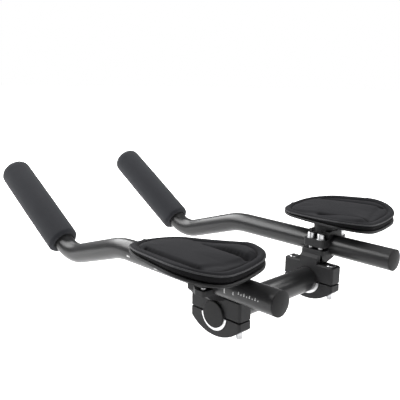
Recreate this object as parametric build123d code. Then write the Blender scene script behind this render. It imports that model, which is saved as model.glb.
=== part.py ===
"""Aero handlebar extension: two bent bars with foam grips and cupped armrests, clamped to a short crossbar.

Frame: origin at the middle of the crossbar's axis, +X to the rider's right along the crossbar,
+Y forwards to the grips, +Z up. The right-hand unit is modelled and mirrored for the left.
All lengths are millimetres and all angles are degrees.
"""

import os
from math import cos, radians, sin, sqrt

from build123d import *

# Fits
running_fit = 0.05
soft_fit = 0.3
plug_fit = 0.15
screw_fit = 0.25
cut_over = 1.0

# Crossbar
crossbar_d = 25.4
crossbar_wall = 2.6
crossbar_overhang = 2.5
crossbar_plug_face = 1.6
crossbar_plug_depth = 12.0

# Crossbar clamp
clamp_offset = 16.5
clamp_width = 16.0
clamp_half_length = 31.0
clamp_lug_top = 18.6
clamp_split_z = -0.4
clamp_split_gap = 1.8
clamp_edge = 1.2
clamp_corner = 2.4
cap_lug_depth = 8.0
cap_belly = 21.1
liner_wall = 2.7
liner_lip = 0.8
clamp_bolt_y = 24.0
clamp_bolt_tip = 18.6

# Clamp bolts and strap bolts
clamp_bolt_d = 6.0
clamp_head_d = 10.0
clamp_head_h = 6.0
clamp_head_proud = 0.6
clamp_bolt_hex = 5.0
strap_bolt_d = 5.0
strap_head_d = 8.5
strap_head_h = 5.0
strap_bolt_hex = 4.0
strap_bolt_tip = 1.5
socket_share = 0.6
head_chamfer = 0.6
tip_chamfer = 0.7
washer_h = 1.0
washer_rim = 0.8

# Extension bar
bar_d = 22.2
bar_wall = 2.0
bar_spacing = 174.0
bar_z = 36.0
bar_tail = 82.0
bar_straight = 111.0
drop_angle = 17.5
drop_radius = 88.0
drop_length = 65.0
rise_angle = 31.7
rise_radius = 46.5
bar_plug_face = 1.4
bar_plug_dome = 1.6
bar_plug_depth = 14.0
left_slide = 2.0
right_slide = -2.0

# Foam grip
grip_d = 36.4
grip_length = 135.0
grip_end_wall = 6.0
grip_round = 8.0
grip_mouth_round = 4.0

# Saddle and strap that hold the bar
riser_front = 10.5
riser_rear = -11.0
riser_root = 3.0
riser_shoulder = 3.0
jaw_corner = 2.5
saddle_wall = 4.2
ear_half_width = 21.5
ear_inner_front = 9.0
ear_outer_front = -5.4
ear_rear = -16.0
lower_ear_h = 5.0
upper_ear_h = 8.3
jaw_gap = 3.2
jaw_gap_z = 34.2
strap_seat_h = 4.9
strap_bolt_inset = 5.2
strap_bolt_front_y = 2.6
strap_bolt_rear_y = -9.4
strap_bolt_outer_y = -10.6

# Armrest
rest_y = -3.0
rest_spacer_d = 24.0
rest_left_turn = 0.5
rest_right_turn = 17.0
rest_valley_u = 13.0
rest_valley_z = 64.0
rest_trough_r = 194.0
rest_pitch = 0.9
rest_rear_inner = (-23.3, -53.1)
rest_rear_outer = (81.1, -73.0)
rest_side_outer = (72.9, 14.1)
rest_front_outer = (57.8, 41.8)
rest_front_inner = (8.2, 61.7)
rest_side_inner = (-30.3, -23.9)
rest_rear_inner_round = 29.0
rest_rear_outer_round = 34.0
rest_side_outer_round = 58.0
rest_front_outer_round = 39.0
rest_front_inner_round = 35.0
rest_side_inner_round = 17.0
cup_drop = 6.4
cup_wall = 2.6
cup_pitch = 3.6
cup_round = 0.9
pad_inset = 0.4
pad_above = 1.3
pad_round = 0.9
seam_inset = 7.0
seam_width = 1.1
seam_depth = 0.9
piping_inset = 2.8
piping_groove = 0.7
piping_depth = 0.6
fold_inner_u = 1.0
fold_outer_u = 58.0
fold_width = 1.6
fold_rear = -46.0
fold_inner_front = 6.0
fold_outer_front = 10.0
rest_bolt_d = 6.0
rest_head_d = 10.5
rest_head_h = 1.4
rest_bolt_hex = 4.0
rest_head_seat = 0.7

# Sizes that follow from the ones above
bar_x = bar_spacing / 2
clamp_x = bar_x - clamp_offset
crossbar_r = crossbar_d / 2
clamp_inner = clamp_x - clamp_width / 2
clamp_outer = clamp_x + clamp_width / 2
crossbar_end = clamp_outer + crossbar_overhang
split_top = clamp_split_z + clamp_split_gap / 2
split_bottom = clamp_split_z - clamp_split_gap / 2
liner_r = crossbar_r + running_fit + liner_wall
bar_r = bar_d / 2
bore_r = bar_r + running_fit
saddle_r = bore_r + saddle_wall
lower_ear_top = jaw_gap_z - jaw_gap / 2
lower_ear_bottom = lower_ear_top - lower_ear_h
upper_ear_bottom = jaw_gap_z + jaw_gap / 2
upper_ear_top = upper_ear_bottom + upper_ear_h
strap_bolt_u = ear_half_width - strap_bolt_inset
strap_top = bar_z + bore_r + strap_seat_h


def upright(diameter, x, y, low, high):
    """Vertical cylinder from low to high."""
    return Pos(x, y, (low + high) / 2) * Cylinder(diameter / 2, high - low)


def block(x0, x1, y0, y1, z0, z1):
    """Box between two corners."""
    return Pos((x0 + x1) / 2, (y0 + y1) / 2, (z0 + z1) / 2) * Box(x1 - x0, y1 - y0, z1 - z0)


def along_y(profile, y0, y1):
    """Extrudes an XZ profile from y0 to y1."""
    plane = Plane((0, y1, 0), x_dir=(1, 0, 0), z_dir=(0, -1, 0))
    return extrude(plane * profile, amount=y1 - y0)


def along_x(radius, x0, x1, y=0, z=0):
    """Cylinder along X."""
    return Pos((x0 + x1) / 2, y, z) * Rot(0, 90, 0) * Cylinder(radius, x1 - x0)


def cap_screw(d, head_d, head_h, hex_af, x, y, seat, tip):
    """Socket cap screw, head on its seat, pointing down to its tip."""
    shank = upright(d, x, y, tip, seat)
    shank = chamfer(shank.edges().group_by(Axis.Z)[0], tip_chamfer)
    head = upright(head_d, x, y, seat, seat + head_h)
    head = chamfer(head.edges().group_by(Axis.Z)[-1], head_chamfer)
    depth = socket_share * head_h
    socket = Pos(x, y, seat + head_h - depth) * extrude(RegularPolygon(hex_af / sqrt(3), 6), depth)
    return shank + head - socket


def bar_path():
    """Axis of the extension: level run, bend down, straight drop, bend up, straight rise in the grip."""
    plane = Plane((bar_x, 0, 0), x_dir=(0, 1, 0), z_dir=(1, 0, 0))
    with BuildLine(plane) as line:
        level = Line((-bar_tail, bar_z), (bar_straight, bar_z))
        dip = JernArc(level @ 1, level % 1, drop_radius, -drop_angle)
        fall = Line(dip @ 1, (dip @ 1) + (dip % 1) * drop_length)
        lift = JernArc(fall @ 1, fall % 1, rise_radius, drop_angle + rise_angle)
        Line(lift @ 1, (lift @ 1) + (lift % 1) * (grip_length - grip_end_wall - soft_fit))
    return line.wire()


def grip_plane():
    """Plane at the grip's mouth, its normal along the grip."""
    y = bar_straight + drop_radius * sin(radians(drop_angle)) + drop_length * cos(radians(drop_angle))
    y += rise_radius * (sin(radians(drop_angle)) + sin(radians(rise_angle)))
    z = bar_z - drop_radius * (1 - cos(radians(drop_angle))) - drop_length * sin(radians(drop_angle))
    z += rise_radius * (cos(radians(drop_angle)) - cos(radians(rise_angle)))
    normal = (0, cos(radians(rise_angle)), sin(radians(rise_angle)))
    return Plane((bar_x, y, z), x_dir=(1, 0, 0), z_dir=normal)


def extension_bar():
    """Bent round tube."""
    path = bar_path()
    start = Plane((bar_x, -bar_tail, bar_z), x_dir=(1, 0, 0), z_dir=(0, 1, 0))
    outer = sweep(start * Circle(bar_r), path)
    inner = sweep(start * Circle(bar_r - bar_wall), path)
    return outer - inner


def bar_plug():
    """Domed plug in the bar's rear end."""
    height = bar_plug_face + bar_plug_dome
    ball_r = (bar_r ** 2 + bar_plug_dome ** 2) / (2 * bar_plug_dome)
    face = Pos(0, 0, height / 2) * Cylinder(bar_r, height)
    face &= Pos(0, 0, height - ball_r) * Sphere(ball_r)
    spigot = Pos(0, 0, -bar_plug_depth / 2) * Cylinder(bar_r - bar_wall - plug_fit, bar_plug_depth)
    return Pos(bar_x, -bar_tail, bar_z) * Rot(90, 0, 0) * (face + spigot)


def foam_grip():
    """Closed-end foam sleeve."""
    sleeve = extrude(Circle(grip_d / 2), grip_length)
    ends = sleeve.edges().filter_by(GeomType.CIRCLE).sort_by(Axis.Z)
    sleeve = fillet(ends[-1], grip_round)
    sleeve = fillet(sleeve.edges().filter_by(GeomType.CIRCLE).sort_by(Axis.Z)[0], grip_mouth_round)
    sleeve -= extrude(Circle(bar_r + soft_fit), grip_length - grip_end_wall)
    return grip_plane().location * sleeve


def strap_bolt_places():
    """Two bolts on the inboard ear and one on the outboard ear."""
    inner = bar_x - strap_bolt_u
    outer = bar_x + strap_bolt_u
    return [(inner, strap_bolt_front_y), (inner, strap_bolt_rear_y), (outer, strap_bolt_outer_y)]


def clamp_bolt_places():
    """One bolt in front of the crossbar and one behind it."""
    return [(clamp_x, clamp_bolt_y), (clamp_x, -clamp_bolt_y)]


def jaw_plan(low, high):
    """Plan outline shared by saddle ears and strap: the outboard ear is shorter than the inboard one."""
    left, right = bar_x - ear_half_width, bar_x + ear_half_width
    neck = bar_x + bore_r
    outline = Polyline((left, ear_rear), (right, ear_rear), (right, ear_outer_front),
                       (neck, ear_inner_front), (left, ear_inner_front), close=True)
    prism = extrude(Pos(0, 0, low) * make_face(outline), high - low)
    return fillet(prism.edges().filter_by(Axis.Z), jaw_corner)


def clamp_body():
    """Upper crossbar jaw, riser and saddle in one forging."""
    body = block(clamp_inner, clamp_outer, -clamp_half_length, clamp_half_length, split_top, clamp_lug_top)
    body = fillet(body.edges().filter_by(Axis.Z), clamp_corner)
    body = chamfer(body.edges().group_by(Axis.Z)[-1], clamp_edge)
    foot_z = clamp_lug_top - riser_root
    belly = bar_z - saddle_r
    riser = Polyline((clamp_inner, foot_z), (clamp_outer, foot_z), (bar_x + saddle_r / 2, belly),
                     (bar_x + saddle_r, lower_ear_bottom), (bar_x + saddle_r, lower_ear_top),
                     (bar_x - ear_half_width, lower_ear_top), (bar_x - ear_half_width, lower_ear_bottom),
                     (clamp_inner, lower_ear_bottom - riser_shoulder), close=True)
    web = along_y(make_face(riser), riser_rear, riser_front)
    web = fillet(web.edges().filter_by(Axis.Y), clamp_edge)
    body += web
    body += jaw_plan(lower_ear_bottom, lower_ear_top)
    body -= along_x(crossbar_r + running_fit, clamp_inner - cut_over, clamp_outer + cut_over)
    body -= Pos(bar_x, 0, bar_z) * Rot(90, 0, 0) * Cylinder(bore_r, 4 * clamp_half_length)
    for x, y in clamp_bolt_places():
        body -= upright(clamp_bolt_d + 2 * screw_fit, x, y, split_top - cut_over, clamp_lug_top)
        seat = clamp_lug_top + clamp_head_proud - clamp_head_h
        body -= upright(clamp_head_d + 2 * screw_fit, x, y, seat, clamp_lug_top + cut_over)
    for x, y in strap_bolt_places():
        root = lower_ear_bottom - 2 * saddle_wall
        body -= upright(strap_bolt_d, x, y, root, lower_ear_top + cut_over)
    return body


def clamp_cap():
    """Lower crossbar jaw with bolt lugs and a recess for the liner."""
    front, rear = clamp_half_length, -clamp_half_length
    sides = Polyline((rear, -cap_lug_depth), (rear, split_bottom),
                     (front, split_bottom), (front, -cap_lug_depth))
    belly = ThreePointArc((front, -cap_lug_depth), (0, -cap_belly), (rear, -cap_lug_depth))
    plane = Plane((clamp_inner, 0, 0), x_dir=(0, 1, 0), z_dir=(1, 0, 0))
    cap = extrude(plane * make_face([sides, belly]), clamp_width)
    cap = fillet(cap.edges().filter_by(Axis.Z), clamp_corner)
    cap -= along_x(liner_r + running_fit, clamp_inner - cut_over, clamp_outer + cut_over)
    for x, y in clamp_bolt_places():
        cap -= upright(clamp_bolt_d, x, y, -cap_belly, split_bottom + cut_over)
    return cap


def cap_liner():
    """Bare half sleeve between crossbar and cap, with a small lip at each face of the clamp."""
    x0, x1 = clamp_inner - liner_lip, clamp_outer + liner_lip
    sleeve = along_x(liner_r, x0, x1) - along_x(crossbar_r + running_fit, x0 - cut_over, x1 + cut_over)
    return sleeve & block(x0, x1, -liner_r, liner_r, -liner_r, split_bottom)


def clamp_bolts():
    """Pair of cap screws through the lugs."""
    seat = clamp_lug_top + clamp_head_proud - clamp_head_h
    return [cap_screw(clamp_bolt_d, clamp_head_d, clamp_head_h, clamp_bolt_hex, x, y, seat, -clamp_bolt_tip)
            for x, y in clamp_bolt_places()]


def strap():
    """Upper jaw over the bar with ears and a flat armrest seat."""
    shell = Pos(bar_x, bar_z) * Circle(saddle_r)
    ear = Pos(bar_x, (upper_ear_bottom + upper_ear_top) / 2) * Rectangle(2 * ear_half_width, upper_ear_h)
    seat_low = bar_z + bar_r / 2
    seat = Pos(bar_x, (seat_low + strap_top) / 2) * Rectangle(rest_spacer_d, strap_top - seat_low)
    profile = shell + ear + seat
    keep = Pos(bar_x, upper_ear_bottom + bar_d) * Rectangle(4 * bar_d, 2 * bar_d)
    body = along_y(profile & keep, ear_rear, ear_inner_front)
    body &= jaw_plan(upper_ear_bottom, strap_top)
    body -= Pos(bar_x, 0, bar_z) * Rot(90, 0, 0) * Cylinder(bore_r, 4 * clamp_half_length)
    for x, y in strap_bolt_places():
        hole = strap_bolt_d + 2 * screw_fit
        pocket = strap_head_d + 2 * washer_rim + 2 * screw_fit
        body -= upright(hole, x, y, upper_ear_bottom - cut_over, upper_ear_top + cut_over)
        body -= upright(pocket, x, y, upper_ear_top, strap_top + cut_over)
    body -= upright(rest_bolt_d + 2 * running_fit, bar_x, rest_y, bar_z, strap_top + cut_over)
    return body


def strap_bolts():
    """Cap screws through strap and saddle ears."""
    seat = upper_ear_top + washer_h
    tip = lower_ear_bottom - strap_bolt_tip
    return [cap_screw(strap_bolt_d, strap_head_d, strap_head_h, strap_bolt_hex, x, y, seat, tip)
            for x, y in strap_bolt_places()]


def strap_washers():
    """Plain washers under the strap bolts' heads."""
    rings = []
    for x, y in strap_bolt_places():
        top = upper_ear_top + washer_h
        disc = upright(strap_head_d + 2 * washer_rim, x, y, upper_ear_top, top)
        hole = strap_bolt_d + 2 * screw_fit
        rings.append(disc - upright(hole, x, y, upper_ear_top - cut_over, top + cut_over))
    return rings


def rest_band(low, high, pitch=rest_pitch):
    """Trough-shaped layer of the armrest between two heights from its rim surface."""
    ring = Circle(rest_trough_r - low) - Circle(rest_trough_r - high)
    reach = 2 * rest_trough_r
    lower_part = Pos(0, -rest_trough_r) * Rectangle(reach, rest_trough_r)
    trough = along_y(ring & lower_part, -reach / 2, reach / 2)
    place = Pos(bar_x + rest_valley_u, rest_y, rest_valley_z + rest_trough_r) * Rot(pitch, 0, 0)
    return place * trough


def round_rims(shell, radius):
    """Rounds the rims of the upper and lower faces of an armrest layer."""
    broad = shell.faces().sort_by(SortBy.AREA)[-2:]
    return fillet([edge for face in broad for edge in face.outer_wire().edges()], radius)


def rest_outline(inset):
    """Armrest plan: broad and round behind, drawn in on both sides towards a blunt front."""
    corners = {rest_rear_inner: rest_rear_inner_round, rest_rear_outer: rest_rear_outer_round,
               rest_side_outer: rest_side_outer_round, rest_front_outer: rest_front_outer_round,
               rest_front_inner: rest_front_inner_round, rest_side_inner: rest_side_inner_round}
    face = make_face(Polyline(*[(bar_x + u, y) for u, y in corners], close=True))
    prism = extrude(face, 2 * rest_valley_z)
    for (u, y), radius in corners.items():
        edge = prism.edges().filter_by(Axis.Z).sort_by_distance((bar_x + u, y, rest_valley_z))[0]
        prism = fillet(edge, radius)
    plan = prism.faces().sort_by(Axis.Z)[0]
    if inset:
        plan = offset(plan, -inset)
    return extrude(Plane.XY * plan, 2 * rest_valley_z, dir=(0, 0, 1))


def border(inset, width, depth):
    """Ring to be cut from the pad's top, parallel to its rim."""
    ring = rest_outline(inset) - rest_outline(inset + width)
    return ring & rest_band(pad_above - depth, pad_above + cut_over)


def fold(u, front):
    """Sewn fold to be cut along the pad's top."""
    left, right = bar_x + u - fold_width / 2, bar_x + u + fold_width / 2
    strip = block(left, right, fold_rear, front, 0, 2 * rest_valley_z)
    return strip & rest_band(pad_above - seam_depth, pad_above + cut_over)


def armrest_cup():
    """Moulded trough that carries the pad, with a sunk seat for its bolt."""
    layer = rest_band(-cup_drop, -cup_drop + cup_wall, cup_pitch)
    cup = round_rims(layer & rest_outline(0), cup_round)
    head_z = strap_seat_level() + rest_head_seat
    cup -= upright(rest_bolt_d + 2 * screw_fit, bar_x, rest_y, strap_top, head_z + cut_over)
    cup -= upright(rest_head_d + 2 * screw_fit, bar_x, rest_y, head_z, head_z + 2 * cup_wall)
    return cup


def strap_seat_level():
    """Height of the cup's underside over the bolt."""
    under_r = rest_trough_r + cup_drop
    return rest_valley_z + rest_trough_r - sqrt(under_r ** 2 - rest_valley_u ** 2)


def armrest_spacer():
    """Round spacer from the strap's flat seat to the cup's underside."""
    spacer = upright(rest_spacer_d, bar_x, rest_y, strap_top, rest_valley_z)
    spacer -= rest_band(-cup_drop, 2 * cup_drop, cup_pitch)
    spacer -= upright(rest_bolt_d + 2 * screw_fit, bar_x, rest_y, strap_top - cut_over, rest_valley_z)
    return spacer


def armrest_bolt():
    """Low-head screw through cup and spacer into the strap."""
    seat = strap_seat_level() + rest_head_seat
    tip = strap_top - strap_seat_h + screw_fit
    return cap_screw(rest_bolt_d, rest_head_d, rest_head_h, rest_bolt_hex, bar_x, rest_y, seat, tip)


def armrest_pad():
    """Cushion on the cup with a piped rim, a sewn border and two sewn folds."""
    blank = rest_band(-2 * cup_drop, pad_above) & rest_outline(pad_inset)
    blank -= rest_band(-4 * cup_drop, -cup_drop + cup_wall + soft_fit, cup_pitch)
    pad = round_rims(blank, pad_round)
    pad -= border(piping_inset, piping_groove, piping_depth)
    pad -= border(seam_inset, seam_width, seam_depth)
    pad -= fold(fold_inner_u, fold_inner_front)
    pad -= fold(fold_outer_u, fold_outer_front)
    return pad


def crossbar_tube():
    """Plain round tube between the plugs."""
    end = crossbar_end - crossbar_plug_face
    bore = along_x(crossbar_r - crossbar_wall, -end - cut_over, end + cut_over)
    return along_x(crossbar_r, -end, end) - bore


def crossbar_plugs():
    """Flat plugs closing both ends of the crossbar."""
    end = crossbar_end - crossbar_plug_face
    face = along_x(crossbar_r, end, crossbar_end)
    face = chamfer(face.edges().group_by(Axis.X)[-1], crossbar_plug_face / 3)
    spigot = along_x(crossbar_r - crossbar_wall - plug_fit, end - crossbar_plug_depth, end)
    plug = face + spigot
    return [plug, mirror(plug, about=Plane.YZ)]


def fixed_pieces():
    """Pieces of the right-hand unit that stay when its bar slides or its armrest turns."""
    return {
        "clamp_body": clamp_body(),
        "clamp_cap": clamp_cap(),
        "cap_liner": cap_liner(),
        "clamp_bolts": clamp_bolts(),
        "strap": strap(),
        "strap_bolts": strap_bolts(),
        "strap_washers": strap_washers(),
    }


def sliding_pieces():
    """Pieces that slide fore and aft in the strap."""
    return {
        "extension_bar": extension_bar(),
        "bar_plug": bar_plug(),
        "foam_grip": foam_grip(),
    }


def armrest_pieces():
    """Pieces that turn about the armrest bolt, with the armrest straight ahead."""
    return {
        "armrest_spacer": armrest_spacer(),
        "armrest_cup": armrest_cup(),
        "armrest_bolt": armrest_bolt(),
        "armrest_pad": armrest_pad(),
    }


def as_solids(shape):
    """Flat list of the solids in a shape or list of shapes."""
    shapes = shape if isinstance(shape, list) else [shape]
    return [solid for item in shapes for solid in item.solids()]


def write_node(name, solids):
    """One STEP file for one named piece."""
    body = solids[0] if len(solids) == 1 else Compound(solids)
    export_step(body, os.path.join("parts", name + ".step"))


def main():
    os.makedirs("parts", exist_ok=True)
    write_node("crossbar_tube", as_solids(crossbar_tube()))
    write_node("crossbar_plugs", as_solids(crossbar_plugs()))
    for name, shape in fixed_pieces().items():
        solids = as_solids(shape)
        write_node("right_" + name, solids)
        write_node("left_" + name, [mirror(solid, about=Plane.YZ) for solid in solids])
    for name, shape in sliding_pieces().items():
        solids = as_solids(shape)
        write_node("right_" + name, [Pos(0, right_slide, 0) * solid for solid in solids])
        slid = [Pos(0, left_slide, 0) * solid for solid in solids]
        write_node("left_" + name, [mirror(solid, about=Plane.YZ) for solid in slid])
    pivot = Axis((bar_x, rest_y, 0), (0, 0, 1))
    for name, shape in armrest_pieces().items():
        solids = as_solids(shape)
        write_node("right_" + name, [solid.rotate(pivot, rest_right_turn) for solid in solids])
        turned = [solid.rotate(pivot, rest_left_turn) for solid in solids]
        write_node("left_" + name, [mirror(solid, about=Plane.YZ) for solid in turned])


main()
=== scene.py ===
"""Dresses the aero handlebar extension: sewn pads, foam grips, metal finishes, printed scale, studio."""

import math

import bpy
import numpy as np
from bpy.props import FloatProperty, FloatVectorProperty, PointerProperty
from mathutils import Matrix, Vector, noise
from mathutils.geometry import delaunay_2d_cdt


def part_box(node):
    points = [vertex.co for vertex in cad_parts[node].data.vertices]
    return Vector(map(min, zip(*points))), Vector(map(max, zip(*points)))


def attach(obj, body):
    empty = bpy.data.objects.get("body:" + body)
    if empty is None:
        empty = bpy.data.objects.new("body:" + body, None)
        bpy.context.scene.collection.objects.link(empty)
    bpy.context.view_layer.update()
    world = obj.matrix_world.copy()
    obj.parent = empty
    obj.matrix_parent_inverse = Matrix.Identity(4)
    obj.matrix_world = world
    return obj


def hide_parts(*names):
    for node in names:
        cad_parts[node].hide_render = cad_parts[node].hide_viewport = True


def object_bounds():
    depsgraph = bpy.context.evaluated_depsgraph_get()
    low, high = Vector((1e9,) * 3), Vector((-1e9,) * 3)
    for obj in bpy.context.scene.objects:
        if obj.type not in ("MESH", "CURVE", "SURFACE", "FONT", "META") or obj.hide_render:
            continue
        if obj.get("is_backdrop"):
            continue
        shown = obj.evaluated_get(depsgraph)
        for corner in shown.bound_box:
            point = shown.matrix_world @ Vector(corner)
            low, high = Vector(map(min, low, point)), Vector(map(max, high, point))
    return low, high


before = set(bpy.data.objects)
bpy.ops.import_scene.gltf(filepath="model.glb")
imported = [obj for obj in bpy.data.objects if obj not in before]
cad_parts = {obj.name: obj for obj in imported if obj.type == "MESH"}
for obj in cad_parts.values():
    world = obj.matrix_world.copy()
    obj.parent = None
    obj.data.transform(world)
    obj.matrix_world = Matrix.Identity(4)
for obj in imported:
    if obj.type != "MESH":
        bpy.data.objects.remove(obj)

bl_info = {
    "name": "Aero Handlebar Extension",
    "version": (1, 0, 0),
    "blender": (4, 5, 0),
    "location": "3D View > Sidebar > Aero Bar",
    "description": "Dresses the packed aero handlebar extension and sets its studio",
    "category": "Object",
}

SIDES = (("left", -1.0), ("right", 1.0))
MM = 0.001
# attribute of the cushions: how near a point lies to a seam or a fold, the mask of the painted shade in the
# cover's colour
SEAM_FOLD_SHADE = "sewn_depth"


# Settings a user would change

def colour_value(name, description, default):
    """Colour setting."""
    return FloatVectorProperty(
        name=name, description=description, default=default, subtype="COLOR", size=3, min=0.0, max=1.0)


def length_value(name, description, millimetres):
    """Length setting."""
    return FloatProperty(name=name, description=description, default=millimetres * MM, unit="LENGTH")


def angle_value(name, description, degrees):
    """Angle setting."""
    return FloatProperty(name=name, description=description, default=math.radians(degrees), subtype="ANGLE")


def power_value(name, description, watts):
    """Power of a light."""
    return FloatProperty(name=name, description=description, default=watts, unit="POWER")


class TubeSettings(bpy.types.PropertyGroup):
    """Paint of the bars and the crossbar."""

    colour: colour_value("Paint colour", "Base colour of the satin paint", (0.017, 0.017, 0.0176))
    roughness: FloatProperty(
        name="Roughness", description="Roughness of the satin paint", subtype="FACTOR",
        min=0.0, max=1.0, default=0.30)
    grain: length_value("Paint grain", "Size of the paint's fine grain", 0.45)
    print_colour: colour_value("Print colour", "Colour of the printed scale", (0.55, 0.55, 0.55))
    print_width: length_value("Print width", "Stroke width of the printed scale", 1.0)


class BracketSettings(bpy.types.PropertyGroup):
    """Finish of the clamps, straps, liners and screws."""

    colour: colour_value("Clamp colour", "Base colour of the blasted clamps", (0.0155, 0.0155, 0.0163))
    edge_colour: colour_value("Edge colour", "Colour where the clamp's edges are rubbed", (0.07, 0.07, 0.073))
    grain: length_value("Blast grain", "Size of the blasted grain", 0.35)
    liner_colour: colour_value("Liner colour", "Colour of the bare liner", (0.7, 0.7, 0.71))
    screw_colour: colour_value("Screw colour", "Colour of the plated screws", (0.46, 0.46, 0.47))
    thread_pitch: length_value("Thread pitch", "Pitch of the screw threads that show", 1.0)


class GripSettings(bpy.types.PropertyGroup):
    """Shape and skin of the foam grips."""

    colour: colour_value("Foam colour", "Base colour of the foam skin", (0.0148, 0.0156, 0.0190))
    rise: angle_value("Rise", "Angle of the grips above level", 31.7)
    end_round: length_value("End round", "Radius round the closed end", 8.5)
    mouth_round: length_value("Mouth round", "Radius round the open end", 4.0)
    swell: length_value("Swell", "How far the foam swells at mid length", 0.25)
    unevenness: length_value("Unevenness", "Height of the foam's slow waves", 0.12)
    pore: length_value("Pore", "Size of the foam's pores", 0.7)


class PadSettings(bpy.types.PropertyGroup):
    """Cover, seams and filling of the armrest pads."""

    colour: colour_value("Cover colour", "Base colour of the knit cover", (0.0152, 0.0152, 0.0168))
    piping_colour: colour_value("Piping colour", "Base colour of the piping", (0.03, 0.03, 0.032))
    cup_colour: colour_value("Cup colour", "Base colour of the moulded cup", (0.007, 0.007, 0.0075))
    knit: length_value("Knit", "Width of one knit rib", 0.9)
    mesh_step: length_value("Cloth step", "Spacing of the cloth's points", 2.4)
    seam_inset: length_value("Seam inset", "Distance of the sewn seam from the rim", 7.5)
    left_turn: angle_value("Left turn", "How far the left armrest is swivelled, front inwards", 0.5)
    right_turn: angle_value("Right turn", "How far the right armrest is swivelled, front inwards", 17.0)
    inboard_fold: length_value("Inboard fold", "Place of the inner fold, outboard of the armrest bolt", 1.0)
    outboard_fold: length_value(
        "Outboard fold", "Place of the outer fold, outboard of the armrest bolt", 58.0)
    roll: length_value("Border roll", "Height of the border's roll between piping and seam", 0.9)
    seam_depth: length_value("Seam depth", "Depth of the sewn seam under the cover", 1.2)
    fold_depth: length_value("Fold depth", "Depth of the sewn folds under the cover", 3.4)
    wing: length_value("Wing", "How far the cover is raised inboard of its fold", 3.6)
    tongue: length_value("Tongue", "How far the panel between the folds is raised", 2.0)
    tongue_rear: length_value("Tongue end", "Rear end of the raised panel, behind the armrest bolt", 44.0)
    tuck: length_value("Tuck", "How far the pad's lower edge is pulled in under its piping", 0.7)
    pressure: FloatProperty(
        name="Pressure", description="Pressure of the filling in the cloth simulation", default=4.0)
    most_swell: length_value("Most swell", "Furthest a point of the cover may move", 5.0)
    piping_d: length_value("Piping", "Diameter of the piping", 1.4)
    stitch: length_value("Stitch", "Length of one stitch", 2.4)
    thread_d: length_value("Thread", "Diameter of the sewing thread", 0.45)


class StageSettings(bpy.types.PropertyGroup):
    """Floor, light and camera."""

    floor_drop: length_value("Floor drop", "Height of the clamps over the floor", 45)
    floor_colour: colour_value("Floor colour", "Colour of the floor", (0.9, 0.9, 0.9))
    key_power: power_value("Key light", "Power of the long softbox in front", 38.0)
    fill_power: power_value("Fill light", "Power of the overhead softbox", 5.0)
    right_power: power_value("Right light", "Power of the softbox on the right", 18.0)
    lens: FloatProperty(
        name="Lens", description="Focal length of the camera", unit="CAMERA", default=54.031)


# Shader bench

class Wire:
    """Output socket that joins in Python sums: each operator adds one Math node."""

    def __init__(self, bench, socket):
        self.bench = bench
        self.socket = socket

    def math(self, operation, *values):
        """Math node on these values."""
        return self.bench.node("ShaderNodeMath", {"operation": operation}, dict(enumerate(values)))

    def __add__(self, other):
        return self.math("ADD", self, other)

    def __radd__(self, other):
        return self.math("ADD", other, self)

    def __sub__(self, other):
        return self.math("SUBTRACT", self, other)

    def __rsub__(self, other):
        return self.math("SUBTRACT", other, self)

    def __mul__(self, other):
        return self.math("MULTIPLY", self, other)

    def __rmul__(self, other):
        return self.math("MULTIPLY", other, self)


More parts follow.
